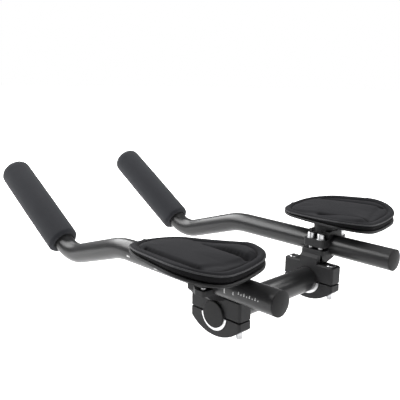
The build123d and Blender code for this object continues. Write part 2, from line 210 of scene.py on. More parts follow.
class Bench:
    """Node tree of one material or world."""

    # sockets of a colour Mix node, whose names repeat
    MIX_FACTOR, MIX_LOW, MIX_HIGH, MIX_RESULT = 0, 6, 7, 2

    def __init__(self, tree):
        self.tree = tree
        tree.nodes.clear()

    def node(self, kind, settings=None, sockets=None, out=0):
        """Adds a node: its settings first, then its sockets' values or links. Gives the named output."""
        made = self.tree.nodes.new(kind)
        for key, value in (settings or {}).items():
            if key == "stops":
                self.set_stops(made.color_ramp, value)
            else:
                setattr(made, key, value)
        for key, value in (sockets or {}).items():
            target = made.inputs[key]
            if isinstance(value, Wire):
                self.tree.links.new(value.socket, target)
            else:
                target.default_value = value
        return Wire(self, made.outputs[out]) if made.outputs else made

    @staticmethod
    def set_stops(ramp, stops):
        """Sets a ramp's stops as pairs of place and grey level."""
        while len(ramp.elements) < len(stops):
            ramp.elements.new(1.0)
        for element, (place, level) in zip(ramp.elements, stops):
            element.position = place
            element.color = (level, level, level, 1.0)

    def ramp(self, value, *stops):
        """Grey ramp over a value."""
        return self.node("ShaderNodeValToRGB", {"stops": stops}, {"Fac": value})

    def mix(self, factor, low, high):
        """Mixes two colours."""
        settings = {"data_type": "RGBA", "clamp_factor": True}
        sockets = {self.MIX_FACTOR: factor, self.MIX_LOW: rgba(low), self.MIX_HIGH: rgba(high)}
        return self.node("ShaderNodeMix", settings, sockets, out=self.MIX_RESULT)

    def shades(self, factor, colour, low, high):
        """Mixes two shades of a colour, each a share of it."""
        return self.mix(factor, lighter(colour, low), lighter(colour, high))

    def place(self, step):
        """Object coordinates counted in steps of this length."""
        spot = self.node("ShaderNodeTexCoord", out="Object")
        return self.node("ShaderNodeVectorMath", {"operation": "SCALE"}, {0: spot, "Scale": 1.0 / step})

    def part(self, vector, axis):
        """One part of a vector: X, Y or Z."""
        return self.node("ShaderNodeSeparateXYZ", None, {0: vector}, out=axis)

    def grain(self, step, detail=2.0, roughness=0.55):
        """Fine noise whose grain has this size."""
        sockets = {"Vector": self.place(step), "Scale": 1.0, "Detail": detail, "Roughness": roughness}
        return self.node("ShaderNodeTexNoise", None, sockets)

    def bump(self, height, strength, distance, normal=None):
        """Bump from a height value."""
        sockets = {"Strength": strength, "Distance": distance, "Height": height}
        if normal is not None:
            sockets["Normal"] = normal
        return self.node("ShaderNodeBump", None, sockets)

    def edge(self, radius):
        """Rounded normal at the edges, and a mask that is 1 along them."""
        round_normal = self.node("ShaderNodeBevel", {"samples": 4}, {"Radius": radius})
        flat_normal = self.node("ShaderNodeNewGeometry", out="Normal")
        along = self.node("ShaderNodeVectorMath", {"operation": "DOT_PRODUCT"},
                          {0: round_normal, 1: flat_normal}, out="Value")
        return round_normal, self.ramp(1.0 - along, (0.01, 0.0), (0.12, 1.0))

    def surface(self, **sockets):
        """Principled surface on the material's output."""
        named = {key.replace("_", " ").title().replace("Ior", "IOR"): value for key, value in sockets.items()}
        if "Base Color" in named:
            named["Base Color"] = rgba(named["Base Color"])
        shader = self.node("ShaderNodeBsdfPrincipled", None, named)
        self.node("ShaderNodeOutputMaterial", None, {"Surface": shader})


def rgba(colour):
    """A colour property as a socket's four numbers; a wire stays as it is."""
    return colour if isinstance(colour, Wire) else (*colour, 1.0)


def lighter(colour, share):
    """A colour times a share."""
    return [channel * share for channel in colour]


def new_material(name):
    """Empty node material and its bench."""
    material = bpy.data.materials.new(name)
    material.use_nodes = True
    return material, Bench(material.node_tree)


# Finishes

def satin_paint(tubes):
    """Satin black paint with a fine grain, faint handling marks and uneven gloss."""
    material, bench = new_material("satin_paint")
    grain = bench.grain(tubes.grain)
    cloud = bench.grain(28 * MM, 3.0)
    rub = bench.node("ShaderNodeTexNoise", None, {
        "Vector": bench.node("ShaderNodeMapping", None, {
            "Vector": bench.place(1.0), "Scale": (900.0, 55.0, 900.0)}),
        "Scale": 1.0, "Detail": 2.0})
    marks = bench.ramp(rub, (0.6, 0.0), (0.8, 1.0))
    bench.surface(
        base_color=bench.shades(cloud * 0.5 + marks * 0.25, tubes.colour, 1.0, 1.5),
        roughness=tubes.roughness - 0.04 + cloud * 0.07 + marks * 0.05 + grain * 0.03,
        specular_ior_level=0.25, coat_weight=0.03, coat_roughness=0.16,
        normal=bench.bump(grain, 0.10, 0.02 * MM))
    return material


def blasted_metal(bracket):
    """Dark blasted clamp metal, rubbed lighter along its edges."""
    material, bench = new_material("blasted_metal")
    grain = bench.grain(bracket.grain, 3.0, 0.65)
    cloud = bench.grain(9 * MM, 3.0)
    round_normal, edge = bench.edge(0.5 * MM)
    worn = edge * bench.ramp(cloud, (0.35, 0.25), (0.7, 1.0))
    body = bench.shades(grain, bracket.colour, 0.8, 1.25)
    bench.surface(
        base_color=bench.mix(worn * 0.7, body, bracket.edge_colour),
        roughness=0.62 - worn * 0.15 - cloud * 0.08, metallic=0.05, specular_ior_level=0.22,
        normal=bench.bump(grain, 0.30, 0.04 * MM, round_normal))
    return material


def bare_liner(bracket):
    """Bare turned liner with fine lathe rings."""
    material, bench = new_material("bare_liner")
    across = bench.part(bench.place(0.22 * MM), "X")
    rings = across.math("SINE", across * math.tau)
    cloud = bench.grain(3 * MM)
    bench.surface(
        base_color=bench.shades(cloud * 0.4, bracket.liner_colour, 1.0, 0.85),
        roughness=0.34 + cloud * 0.12, metallic=1.0,
        normal=bench.bump(rings, 0.12, 0.01 * MM))
    return material


def plated_screw(bracket):
    """Bright plated screw with a faint haze."""
    material, bench = new_material("plated_screw")
    haze = bench.grain(1.6 * MM, 4.0)
    round_normal, edge = bench.edge(0.2 * MM)
    bench.surface(
        base_color=bench.shades(haze * 0.5, bracket.screw_colour, 1.0, 0.8),
        roughness=0.20 + haze * 0.16 + edge * 0.05, metallic=1.0, normal=round_normal)
    return material


def moulded_plug(tubes):
    """Matte moulded plug, with a painted highlight: its colour is lighter along the rim."""
    material, bench = new_material("moulded_plug")
    grain = bench.grain(0.3 * MM)
    cloud = bench.grain(6 * MM)
    round_normal, edge = bench.edge(0.4 * MM)
    bench.surface(
        # painted highlight: the edge mask makes the colour lighter along the rim
        base_color=bench.shades(cloud * 0.6 + edge * 0.3, tubes.colour, 0.8, 1.3),
        roughness=0.48 + cloud * 0.12, specular_ior_level=0.12,
        normal=bench.bump(grain, 0.25, 0.03 * MM, round_normal))
    return material


def moulded_cup(pads):
    """Dark moulded cup with a leathery grain."""
    material, bench = new_material("moulded_cup")
    cells = bench.node("ShaderNodeTexVoronoi", {"feature": "DISTANCE_TO_EDGE"},
                       {"Vector": bench.place(0.8 * MM), "Scale": 1.0})
    grain = bench.ramp(cells, (0.0, 0.0), (0.25, 1.0))
    cloud = bench.grain(14 * MM)
    bench.surface(
        base_color=bench.shades(cloud, pads.cup_colour, 0.85, 1.3),
        roughness=0.55 + cloud * 0.12, specular_ior_level=0.25,
        normal=bench.bump(grain, 0.22, 0.03 * MM))
    return material


def foam_skin(grips):
    """Closed-cell foam skin: pores, pale specks and slow mottling."""
    material, bench = new_material("foam_skin")
    pores = bench.node("ShaderNodeTexVoronoi", {"feature": "F1"},
                       {"Vector": bench.place(grips.pore), "Scale": 1.0, "Randomness": 1.0})
    pit = bench.ramp(pores, (0.12, 0.0), (0.42, 1.0))
    fine = bench.grain(0.35 * MM, 3.0, 0.7)
    cloud = bench.grain(18 * MM, 3.0)
    speck = bench.ramp(fine, (0.55, 0.0), (0.75, 1.0))
    body = bench.shades(cloud * 0.5 + fine * 0.5, grips.colour, 0.8, 1.2)
    bench.surface(
        base_color=bench.mix(speck * 0.35, body, lighter(grips.colour, 2.0)),
        roughness=0.92 - speck * 0.05, specular_ior_level=0.25,
        sheen_weight=0.05, sheen_roughness=0.6,
        normal=bench.bump(pit * 0.6 + fine * 0.4, 0.5, 0.12 * MM))
    return material


def knit_cover(pads):
    """Fine knit: ribs along the pad broken into loops across it, with painted shade along the sewn seam and
    folds.
    """
    material, bench = new_material("knit_cover")
    ribs = bench.place(pads.knit)
    across = bench.part(ribs, "X")
    along = bench.part(ribs, "Y")
    rib = across.math("SINE", across * math.tau)
    loop = along.math("SINE", along * (1.4 * math.tau) + rib * 1.2)
    knit = rib * 0.5 + loop * 0.35
    fibre = bench.grain(0.25 * MM, 3.0, 0.7)
    cloud = bench.grain(22 * MM, 3.0)
    shade = bench.ramp(knit * 0.5 + 0.5, (0.2, 0.0), (0.8, 1.0))
    # painted shade: near the seam and the folds the cover's colour is mixed towards nearly black, standing in
    # for the shade that falls there
    sewn = bench.node("ShaderNodeAttribute", {"attribute_name": SEAM_FOLD_SHADE}, out="Fac")
    body = bench.shades(shade * 0.5 + fibre * 0.3, pads.colour, 0.7, 1.35)
    plain = bench.mix(cloud * 0.25, body, lighter(pads.colour, 1.6))
    bench.surface(
        base_color=bench.mix(sewn * 0.8, plain, lighter(pads.colour, 0.1)),
        roughness=0.9 - cloud * 0.06, specular_ior_level=0.05,
        sheen_weight=0.02, sheen_roughness=0.45,
        normal=bench.bump(knit + fibre * 0.5, 0.35, 0.10 * MM))
    return material


def pad_backing(pads):
    """Dull backing cloth under the pad and round its side."""
    material, bench = new_material("pad_backing")
    nap = bench.grain(0.4 * MM, 3.0, 0.7)
    bench.surface(
        base_color=bench.shades(nap, pads.colour, 0.25, 0.5),
        roughness=0.95 - nap * 0.05, specular_ior_level=0.1, normal=bench.bump(nap, 0.4, 0.1 * MM))
    return material


def piping_tape(pads):
    """Piping of closely woven tape with a slight sheen."""
    material, bench = new_material("piping_tape")
    spot = bench.place(0.7 * MM)
    across = bench.part(spot, "X")
    along = bench.part(spot, "Y")
    twill = across.math("SINE", (across + along) * math.tau)
    cloud = bench.grain(6 * MM)
    bench.surface(
        base_color=bench.shades(twill * 0.25 + 0.35 + cloud * 0.3, pads.piping_colour, 0.75, 1.4),
        roughness=0.7 + cloud * 0.1, specular_ior_level=0.25,
        sheen_weight=0.06, sheen_roughness=0.4, normal=bench.bump(twill, 0.3, 0.08 * MM))
    return material


def sewing_thread(pads):
    """Twisted sewing thread."""
    material, bench = new_material("sewing_thread")
    twist = bench.grain(0.3 * MM)
    bench.surface(
        base_color=bench.shades(twist, pads.piping_colour, 0.6, 1.2),
        roughness=0.6 + twist * 0.15, specular_ior_level=0.4, normal=bench.bump(twist, 0.4, 0.05 * MM))
    return material


def white_print(tubes):
    """Printed white, a little worn."""
    material, bench = new_material("white_print")
    wear = bench.ramp(bench.grain(0.5 * MM, 3.0), (0.3, 0.0), (0.6, 1.0))
    bench.surface(
        base_color=bench.shades(wear, tubes.print_colour, 0.55, 1.0),
        roughness=0.45 + wear * 0.1, specular_ior_level=0.5)
    return material


def pale_floor(stage):
    """Pale matte table, lit a little from within and more towards its far edge."""
    material, bench = new_material("pale_floor")
    cloud = bench.grain(0.4, 2.0)
    away = bench.node("ShaderNodeVectorMath", {"operation": "LENGTH"}, {0: bench.place(3.0)}, out="Value")
    bench.surface(
        base_color=bench.shades(cloud * 0.3, stage.floor_colour, 1.0, 0.98),
        roughness=0.9, specular_ior_level=0.1,
        emission_color=bench.ramp(away, (0.1, 0.52), (0.45, 0.85), (1.0, 1.0)), emission_strength=1.0)
    return material


# Meshes

NEARLY_UPRIGHT = 0.05


def both(*pieces):
    """Names of the left and the right node of these pieces."""
    return [f"{side}_{piece}" for side, _ in SIDES for piece in pieces]


def dress(nodes, material):
    """Gives CAD nodes a material."""
    for name in nodes:
        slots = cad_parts[name].material_slots
        if not slots:
            raise RuntimeError(f"node {name} has no material slot to dress")
        for slot in slots:
            slot.material = material


def add_piece(name, points, faces, material, body, slot):
    """New smooth mesh that rides on a body."""
    mesh = bpy.data.meshes.new(name)
    mesh.from_pydata([tuple(p) for p in points], [], faces)
    mesh.validate()
    mesh.polygons.foreach_set("use_smooth", [True] * len(mesh.polygons))
    mesh.materials.append(material)
    piece = bpy.data.objects.new(name, mesh)
    bpy.context.scene.collection.objects.link(piece)
    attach(piece, body)
    return piece


def node_points(name):
    """Corners of a CAD node's mesh as an array."""
    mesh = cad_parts[name].data
    flat = np.empty(len(mesh.vertices) * 3)
    mesh.vertices.foreach_get("co", flat)
    return flat.reshape(-1, 3)


def ring_faces(count, sides, closed):
    """Faces between neighbouring rings of points, and from the last ring to the first if closed."""
    faces = []
    for i in range(count if closed else count - 1):
        a = i * sides
        b = (i + 1) % count * sides
        for k in range(sides):
            n = (k + 1) % sides
            faces.append((a + k, a + n, b + n, b + k))
    if not closed:
        faces.append(tuple(reversed(range(sides))))
        faces.append(tuple(range((count - 1) * sides, count * sides)))
    return faces


def tube_mesh(path, radius, sides, closed):
    """Points and faces of a round tube along a path of points."""
    count = len(path)
    points = []
    for i, spot in enumerate(path):
        before = path[i - 1] if closed or i else spot
        after = path[(i + 1) % count] if closed or i < count - 1 else spot
        along = (after - before).normalized()
        up = Vector((0.0, 0.0, 1.0)) - along * along.z
        if up.length < NEARLY_UPRIGHT:
            up = Vector((1.0, 0.0, 0.0)) - along * along.x
        up.normalize()
        out = along.cross(up)
        for k in range(sides):
            turn = math.tau * k / sides
            points.append(spot + radius * (math.cos(turn) * out + math.sin(turn) * up))
    return points, ring_faces(count, sides, closed)


def join_parts(parts):
    """Joins several (points, faces) into one."""
    points = []
    faces = []
    for some_points, some_faces in parts:
        start = len(points)
        points.extend(some_points)
        faces.extend(tuple(start + i for i in face) for face in some_faces)
    return points, faces


def lathe(profile, segments, place):
    """Points and faces of a profile of (radius, height) turned round its axis and put in place."""
    points = []
    for radius, height in profile:
        for k in range(segments):
            turn = math.tau * k / segments
            points.append(place @ Vector((radius * math.cos(turn), radius * math.sin(turn), height)))
    return points, ring_faces(len(profile), segments, False)


def arc_points(centre, radius, start, end, count):
    """Points on an arc in the (radius, height) plane, angles in degrees."""
    steps = [math.radians(start + (end - start) * i / (count - 1)) for i in range(count)]
    return [(centre[0] + radius * math.cos(t), centre[1] + radius * math.sin(t)) for t in steps]


# Grips

GRIP_SEGMENTS = 96
GRIP_STEPS = 40
GRIP_SLACK = 0.1 * MM
# waves of the foam's skin to a metre, and the height of the quick ones against the slow ones
SLOW_WAVES, QUICK_WAVES = 45.0, 130.0
QUICK_SHARE = 0.6


def grip_place(node, rise):
    """Frame of a grip (axis as local Z, origin at its mouth), its radius and its length."""
    points = node_points(node)
    axis = np.array([0.0, math.cos(rise), math.sin(rise)])
    side = np.array([0.0, -math.sin(rise), math.cos(rise)])
    across = points @ side
    along = points @ axis
    centre_x = (points[:, 0].min() + points[:, 0].max()) / 2
    centre = (across.min() + across.max()) / 2
    origin = Vector((centre_x, 0.0, 0.0)) + Vector(side) * centre + Vector(axis) * along.min()
    turn = Matrix(((1.0, 0.0, 0.0), (0.0, -side[1], axis[1]), (0.0, -side[2], axis[2])))
    place = Matrix.Translation(origin) @ turn.to_4x4()
    return place, (across.max() - across.min()) / 2, along.max() - along.min()


def grip_profile(grips, radius, length, bore, depth):
    """Section of the foam sleeve from the bottom of its bore round its mouth to its closed end."""
    mouth = grips.mouth_round
    end = grips.end_round
    throat, lip = 4 * MM, 1.6 * MM
    dome_start, dome_steps = 78, 9
    profile = [(bore, depth), (bore, throat)]
    profile += arc_points((bore + lip, lip), lip, 180, 270, 6)
    profile += arc_points((radius - mouth, mouth), mouth, 270, 360, 9)
    straight = length - mouth - end
    for i in range(1, GRIP_STEPS):
        t = i / GRIP_STEPS
        profile.append((radius + grips.swell * math.sin(math.pi * t), mouth + straight * t))
    profile += arc_points((radius - end, length - end), end, 0, dome_start, 12)
    tip_radius, tip_height = profile[-1]
    for i in range(1, dome_steps):
        t = i / dome_steps
        rise = (length - tip_height) * math.sin(t * math.pi / 2)
        profile.append((tip_radius * (1 - t), tip_height + rise))
    return profile


def foam_grip(side, grips, material):
    """Foam sleeve with slow waves in its skin, in place of the plain solid."""
    node = side + "_foam_grip"
    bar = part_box(side + "_extension_bar")
    place, radius, length = grip_place(node, grips.rise)
    bore = (bar[1].x - bar[0].x) / 2 + GRIP_SLACK
    axis = place.to_3x3() @ Vector((0.0, 0.0, 1.0))
    origin = place.translation
    bar_end = (node_points(side + "_extension_bar") @ np.array(axis)).max()
    depth = bar_end - origin.dot(axis) + GRIP_SLACK
    profile = grip_profile(grips, radius - grips.swell, length, bore, depth)
    points, faces = lathe(profile, GRIP_SEGMENTS, place)
    skin = bore + 2 * MM
    for i, point in enumerate(points):
        out = point - origin
        out -= axis * out.dot(axis)
        if out.length > skin:
            wave = noise.noise(point * SLOW_WAVES) + QUICK_SHARE * noise.noise(point * QUICK_WAVES)
            points[i] = point + out.normalized() * (wave * grips.unevenness)
    grip = add_piece(side + "_grip_foam", points, faces, material, side + "_extension", "foam")
    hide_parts(node)
    return grip


# Armrest pads

RING_POINTS = 220
TRIANGLE_HEIGHT = 0.866
THREAD_SIDES, PIPING_SIDES = 6, 10
# bow, rear end and front end of each fold in mm, counted from the armrest bolt
INBOARD_RUN = (1.5, -43, 9)
OUTBOARD_RUN = (-2.0, -47, 22)
# rows of points in mm, from the rim to the seam and past the seam
BORDER_ROWS = (0.0, 0.9, 2.0, 3.4, 5.0, 6.4)
PANEL_ROWS = (1.1, 2.4)
CLOTH = {
    "vertex_group_mass": "sewn", "use_pressure": True, "quality": 6, "mass": 0.05,
    "tension_stiffness": 12.0, "compression_stiffness": 12.0, "bending_stiffness": 0.3,
}
CLOTH_FRAMES = 20
# heights in mm along one thread, and how far a tack's thread reaches to each side
STITCH_ARCH = (-0.25, 0.12, 0.22, 0.12, -0.25)
TACK_ARCH = (-0.1, 0.35, 0.45, 0.35, -0.1)
TACK_REACH = (-1.3, -0.7, 0.0, 0.7, 1.3)


def plan_outline(points, count):
    """Outline of the points seen from above, as evenly spaced points running anticlockwise."""
    flat = sorted({(round(x, 6), round(y, 6)) for x, y, _ in points})

    def half(ordered):
        """Points of one half of the outline, each a left turn from the two before."""
        chain = []
        for p in ordered:
            while len(chain) > 1:
                (ax, ay), (bx, by) = chain[-2:]
                if (bx - ax) * (p[1] - ay) - (by - ay) * (p[0] - ax) > 0:
                    break
                chain.pop()
            chain.append(p)
        return chain[:-1]

    ring = np.array(half(flat) + half(flat[::-1]))
    return even_ring(ring, count)


def line_steps(line):
    """Distance of each point of a line from its start."""
    return np.concatenate([[0.0], np.cumsum(np.linalg.norm(np.diff(line, axis=0), axis=1))])


def line_points(line, want):
    """Points of a line at these distances from its start."""
    steps = line_steps(line)
    return np.stack([np.interp(want, steps, line[:, k]) for k in (0, 1)], 1)


def even_ring(ring, count):
    """Closed ring resampled at even spacing."""
    closed = np.vstack([ring, ring[:1]])
    return line_points(closed, np.linspace(0.0, line_steps(closed)[-1], count, endpoint=False))


def left_of(along):
    """Unit vectors to the left of these directions."""
    along = along / np.linalg.norm(along, axis=1)[:, None]
    return np.stack([-along[:, 1], along[:, 0]], 1)


def inset_ring(ring, distance):
    """Anticlockwise ring moved inwards."""
    return ring + distance * left_of(np.roll(ring, -1, axis=0) - np.roll(ring, 1, axis=0))


def raised(plan, heights):
    """Plan points at these heights."""
    return [Vector((x, y, z)) for (x, y), z in zip(plan, heights)]


class FaceHeight:
    """Height of a node's upper or lower face as a smooth function of the plan, grooves left out."""

    # length that the terms are counted in, fitting passes, least upright share of a face's normal,
    # and how far under the fit a point counts as part of a groove
    SCALE = 50 * MM
    PASSES = 4
    LEVEL = 0.8
    GROOVE = 0.12 * MM

    def __init__(self, node, up):
        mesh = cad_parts[node].data
        use = {i for p in mesh.polygons if p.normal.z * up > self.LEVEL for i in p.vertices}
        points = node_points(node)[sorted(use)]
        self.middle = points[:, :2].mean(0)
        for _ in range(self.PASSES):
            terms = self.terms(points[:, :2])
            self.weights = np.linalg.lstsq(terms, points[:, 2], rcond=None)[0]
            points = points[(points[:, 2] - self.at(points[:, :2])) * up > -self.GROOVE]

    def terms(self, plan):
        """Terms of the smooth surface at plan points."""
        x, y = ((np.asarray(plan) - self.middle) / self.SCALE).T
        return np.stack([np.ones_like(x), x, y, x * y, x ** 2, y ** 2, x ** 3, x ** 4, x ** 2 * y ** 2], -1)

    def at(self, plan):
        """Heights over an array of plan points."""
        return self.terms(plan) @ self.weights


def inside(ring, plan):
    """Signed distance of plan points inside a convex anticlockwise ring."""
    normal = left_of(np.roll(ring, -1, axis=0) - ring)
    return ((plan[:, None, :] - ring[None]) * normal[None]).sum(-1).min(1)


class RestPlan:
    """Plan of one armrest: outboard and forward from its bolt before it is swivelled."""

    def __init__(self, side, sign, turn):
        low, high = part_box(side + "_armrest_bolt")
        self.pivot = np.array([(low.x + high.x) / 2, (low.y + high.y) / 2])
        self.sign = sign
        self.cos = math.cos(turn)
        self.sin = math.sin(turn)

    def to_frame(self, unit):
        """Plan points in the frame from points counted from the bolt."""
        u, v = unit[:, 0], unit[:, 1]
        turned = np.stack([self.sign * (u * self.cos - v * self.sin), u * self.sin + v * self.cos], 1)
        return self.pivot + turned

    def from_frame(self, plan):
        """Points counted from the bolt from plan points in the frame."""
        away = np.asarray(plan) - self.pivot
        u = self.sign * away[:, 0]
        return np.stack([u * self.cos + away[:, 1] * self.sin, away[:, 1] * self.cos - u * self.sin], 1)


def fold_lines(rest, pads, ring):
    """The two sewn folds as plan points: gently bent fore-aft lines that stop short of the border seam."""
    seam_gap = 2.5 * MM
    bow_middle = 0.4
    lines = []
    for offset, run in ((pads.inboard_fold, INBOARD_RUN), (pads.outboard_fold, OUTBOARD_RUN)):
        bow, rear, front = run
        v = np.arange(rear * MM, front * MM, pads.mesh_step)
        share = np.linspace(-1.0, 1.0, len(v))
        plan = rest.to_frame(np.stack([offset + bow * MM * (share ** 2 - bow_middle), v], 1))
        lines.append(plan[inside(ring, plan) > pads.seam_inset + seam_gap])
    return lines


def ease(share):
    """Smooth step from 0 to 1."""
    share = np.clip(share, 0.0, 1.0)
    return share * share * (3.0 - 2.0 * share)


def line_distance(plan, line):
    """Distance of plan points from a line of points."""
    best = np.full(len(plan), np.inf)
    for a, b in zip(line[:-1], line[1:]):
        along = b - a
        share = np.clip(((plan - a) @ along) / (along @ along), 0.0, 1.0)
        best = np.minimum(best, np.linalg.norm(plan - a - share[:, None] * along, axis=1))
    return best


def pad_relief(plan, rest, ring, folds, pads):
    """Height of the sewn cover over the pad's smooth top."""
    rim_drop, rim_width = 1.9 * MM, 3.2 * MM
    seam_width = 0.9 * MM
    fullness, full_width = 0.7 * MM, 5 * MM
    crease, valley = 1.4 * MM, 4 * MM
    depth = inside(ring, plan)
    past_seam = depth - pads.seam_inset
    relief = -rim_drop * np.clip(1 - depth / rim_width, 0, 1) ** 2
    relief += pads.roll * np.sin(math.pi * np.clip(depth / pads.seam_inset, 0, 1))
    relief -= pads.seam_depth * np.exp(-(past_seam / seam_width) ** 2)
    relief += fullness * (1 - np.exp(-np.clip(past_seam, 0, None) / full_width))
    for line in folds:
        away = line_distance(plan, line)
        dip = 0.7 * np.exp(-(away / crease) ** 2) + 0.3 * np.exp(-(away / valley) ** 2)
        relief -= pads.fold_depth * dip
    return relief + panel_rise(rest.from_frame(plan), pads) * ease(past_seam / full_width)


def panel_rise(unit, pads):
    """Height of the raised wing and tongue of the cover, at points counted from the bolt."""
    u, v = unit.T
    front, front_ease = 10 * MM, 34 * MM
    rear, rear_ease = -47 * MM, 9 * MM
    inboard, inboard_ease = -27 * MM, 22 * MM
    wing_flank, tongue_end, inner_flank, outer_flank = 2 * MM, 4 * MM, 4 * MM, 3 * MM
    wing = pads.wing * ease((front - v) / front_ease) * ease((v - rear) / rear_ease)
    wing *= ease((pads.inboard_fold - u) / wing_flank) * ease((u - inboard) / inboard_ease)
    tongue = pads.tongue * ease((v + pads.tongue_rear) / tongue_end)
    tongue *= ease((u - pads.inboard_fold) / inner_flank) * ease((pads.outboard_fold - u) / outer_flank)
    return wing + tongue


def pad_sheet(ring, folds, pads):
    """Triangles of the flat cover: plan points, faces, points on the seam and the folds, and rim."""
    step = pads.mesh_step
    row_height = step * TRIANGLE_HEIGHT
    seam_room, fold_room = 0.6 * step, 0.7 * step
    insets = [d * MM for d in BORDER_ROWS] + [pads.seam_inset]
    insets += [pads.seam_inset + d * MM for d in PANEL_ROWS]
    count = len(ring)
    plan = list(np.vstack([inset_ring(ring, d) for d in insets]))
    edges = [(r * count + k, r * count + (k + 1) % count) for r in range(len(insets)) for k in range(count)]
    seam_start = len(BORDER_ROWS) * count
    seam = set(range(seam_start, seam_start + count))
    for line in folds:
        start = len(plan)
        plan.extend(line)
        edges += [(start + i, start + i + 1) for i in range(len(line) - 1)]
        seam |= set(range(start, len(plan)))
    low, high = ring.min(0), ring.max(0)
    xs = np.arange(low[0], high[0], step)
    grid = np.array([(x + (row % 2) * step / 2, low[1] + row * row_height)
                     for row in range(int((high[1] - low[1]) / row_height) + 1) for x in xs])
    grid = grid[inside(ring, grid) > insets[-1] + seam_room]
    gap = np.linalg.norm(grid[:, None, :] - np.vstack(folds)[None], axis=2).min(1)
    plan.extend(grid[gap > fold_room])
    inside_only, tolerance = 1, 1e-6
    made = delaunay_2d_cdt([Vector(p) for p in plan], edges, [list(range(count))], inside_only, tolerance)
    points, _, faces, origins = made[:4]
    sewn_points = {i for i, source in enumerate(origins) if seam & set(source)}
    rim = [next(i for i, source in enumerate(origins) if k in source) for k in range(count)]
    return np.array([tuple(p) for p in points]), [tuple(f) for f in faces], sewn_points, rim


def pad_form(side, sign, pads):
    """Closed sewn cover: points, faces, pinned points, rim, and what its seams are laid out by."""
    node = side + "_armrest_pad"
    rest = RestPlan(side, sign, pads.left_turn if side == "left" else pads.right_turn)
    ring = plan_outline(node_points(node), RING_POINTS)
    top = FaceHeight(node, 1)
    bottom = FaceHeight(node, -1)
    folds = fold_lines(rest, pads, ring)
    plan, faces, sewn, rim = pad_sheet(ring, folds, pads)

    def cover(spots):
        """Height of the sewn cover over plan points."""
        return top.at(spots) + pad_relief(spots, rest, ring, folds, pads)

    thick = top.at(plan) - bottom.at(plan)
    edge_width, edge_lift = 3 * MM, 0.25
    lower = bottom.at(plan) + edge_lift * thick * np.clip(1 - inside(ring, plan) / edge_width, 0, 1) ** 2
    tucked = plan.copy()
    tucked[rim] = inset_ring(plan[rim], pads.tuck)
    count = len(plan)
    points = raised(plan, cover(plan)) + raised(tucked, lower)
    closed = list(faces)
    closed += [tuple(count + i for i in reversed(face)) for face in faces]
    for k, a in enumerate(rim):
        b = rim[(k + 1) % len(rim)]
        closed.append((b, a, count + a, count + b))
    pinned = sorted(sewn) + rim + list(range(count, 2 * count))
    return points, closed, pinned, rim, [ring, folds, rest, cover]


def paint_seam_fold_shade(piece, ring, folds, pads):
    """Stores how near each point of the cover lies to a seam or a fold, as the mask of the painted shade in
    the cover's colour.
    """
    seam_width, fold_width = 1.0 * MM, 2.3 * MM
    seam_share = 0.7
    plan = np.array([v.co[:2] for v in piece.data.vertices])
    near = seam_share * np.exp(-((inside(ring, plan) - pads.seam_inset) / seam_width) ** 2)
    for line in folds:
        near = np.maximum(near, np.exp(-(line_distance(plan, line) / fold_width) ** 2))
    piece.data.attributes.new(SEAM_FOLD_SHADE, "FLOAT", "POINT").data.foreach_set("value", near)


def swell(piece, pinned, pads):
    """Fills the cover by cloth simulation with its seams held, and keeps each point near its start."""
    start = np.array([v.co for v in piece.data.vertices])
    group = piece.vertex_groups.new(name=CLOTH["vertex_group_mass"])
    group.add(pinned, 1.0, "REPLACE")
    cloth = piece.modifiers.new("filling", "CLOTH")
    for key, value in CLOTH.items():
        setattr(cloth.settings, key, value)
    cloth.settings.uniform_pressure_force = pads.pressure
    cloth.settings.effector_weights.gravity = 0.0
    scene = bpy.context.scene
    for number in range(1, CLOTH_FRAMES + 1):
        scene.frame_set(number)
    filled = piece.evaluated_get(bpy.context.evaluated_depsgraph_get())
    moved = np.array([v.co for v in filled.to_mesh().vertices])
    filled.to_mesh_clear()
    piece.modifiers.remove(cloth)
    scene.frame_set(1)
    shift = moved - start
    length = np.maximum(np.linalg.norm(shift, axis=1), 1e-9)
    shift *= np.minimum(1.0, pads.most_swell / length)[:, None]
    piece.data.vertices.foreach_set("co", (start + shift).ravel())
    piece.data.update()


def pad_cushion(side, sign, pads, cover, backing, piping, thread):
    """Sewn cushion with its piping, border stitches and front tack."""
    node = side + "_armrest_pad"
    body = side + "_armrest"
    points, faces, pinned, rim, (ring, folds, rest, cover_height) = pad_form(side, sign, pads)
    cushion = add_piece(side + "_pad_cushion", points, faces, cover, body, "pad")
    cushion.data.materials.append(backing)
    half = len(points) // 2
    for face in cushion.data.polygons:
        face.material_index = int(max(face.vertices) >= half)
    # mask of the painted shade along the seam and the folds
    paint_seam_fold_shade(cushion, ring, folds, pads)
    swell(cushion, pinned, pads)
    fine = cushion.modifiers.new("smooth", "SUBSURF")
    fine.levels = 1
    fine.render_levels = 1
    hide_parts(node)
    radius = pads.piping_d / 2
    inset, lift = 0.3 * radius, 0.35 * radius
    path = raised(inset_ring(ring, inset), [cushion.data.vertices[i].co.z + lift for i in rim])
    add_piece(side + "_pad_piping", *tube_mesh(path, radius, PIPING_SIDES, True), piping, body, "pad")
    stitches = seam_stitches(ring, folds, pads, cover_height)
    stitches += front_tack(ring, rest, pads, cover_height)
    add_piece(side + "_pad_stitches", *join_parts(stitches), thread, body, "pad")


def laid_thread(plan, arch, pads, cover_height):
    """Thread over the cover along plan points, arched by these heights."""
    path = raised(plan, cover_height(plan) + np.array(arch) * MM)
    return tube_mesh(path, pads.thread_d / 2, THREAD_SIDES, False)


def seam_stitches(ring, folds, pads, cover_height):
    """Short threads along the border seam and the folds."""
    length = pads.stitch
    gap = 0.9 * MM
    pitch = length + gap
    seam = inset_ring(ring, pads.seam_inset)
    parts = []
    for line in [np.vstack([seam, seam[:1]])] + folds:
        for begin in np.arange(0.3 * pitch, line_steps(line)[-1] - length, pitch):
            plan = line_points(line, np.linspace(begin, begin + length, len(STITCH_ARCH)))
            parts.append(laid_thread(plan, STITCH_ARCH, pads, cover_height))
    return parts


